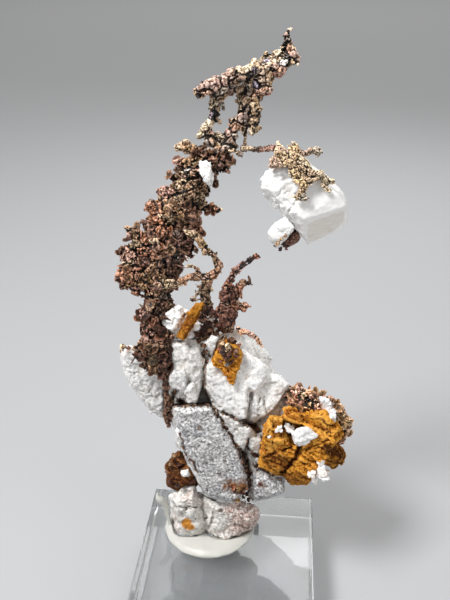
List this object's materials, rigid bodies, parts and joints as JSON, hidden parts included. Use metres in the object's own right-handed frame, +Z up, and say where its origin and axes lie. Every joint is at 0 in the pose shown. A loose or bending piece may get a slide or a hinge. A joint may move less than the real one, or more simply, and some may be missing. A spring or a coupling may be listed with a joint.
{
  "type": "native copper mineral specimen on a display block",
  "caption": "Branching native copper grown from white calcite and ochre limonite, with a calcite crystal hanging from a copper arm, set in putty on a clear acrylic block.",
  "frame": {"origin": "middle of the underside of the acrylic block", "axes": "+Z up through the specimen, +Y away from the side the picture was taken from, +X to its right"},
  "size_m": [0.047, 0.0401, 0.1185],
  "materials": {
    "clear_acrylic": "polished, see-through",
    "mounting_putty": "smooth, pressed by hand",
    "pink_calcite": "rough, pinkish beige",
    "white_calcite": "cleaved and weathered, white",
    "ochre_limonite": "earthy, matt",
    "brown_limonite": "earthy, matt",
    "native_copper": "tarnished, crystallised",
    "dark_copper": "dark tarnish, crystallised"
  },
  "bodies": {
    "root": {"acrylic_block": "clear_acrylic", "mounting_putty": "mounting_putty", "calcite_foot": "pink_calcite", "calcite_matrix": "white_calcite", "brown_limonite": "brown_limonite", "ochre_limonite": "ochre_limonite", "cavity_crystals": "white_calcite", "copper_quartz_crust": "native_copper", "upper_calcite": "white_calcite", "limonite_sheet": "ochre_limonite", "limonite_patch": "ochre_limonite", "copper_trunk": "dark_copper", "copper_plume": "native_copper", "copper_crest": "native_copper", "copper_arch": "native_copper", "copper_blades": "dark_copper", "copper_twig": "native_copper", "copper_arm": "native_copper", "copper_cap": "native_copper", "copper_link": "dark_copper", "hanging_crystal": "white_calcite", "small_crystal": "white_calcite", "calcite_chip": "white_calcite"}
  },
  "joints": []
}
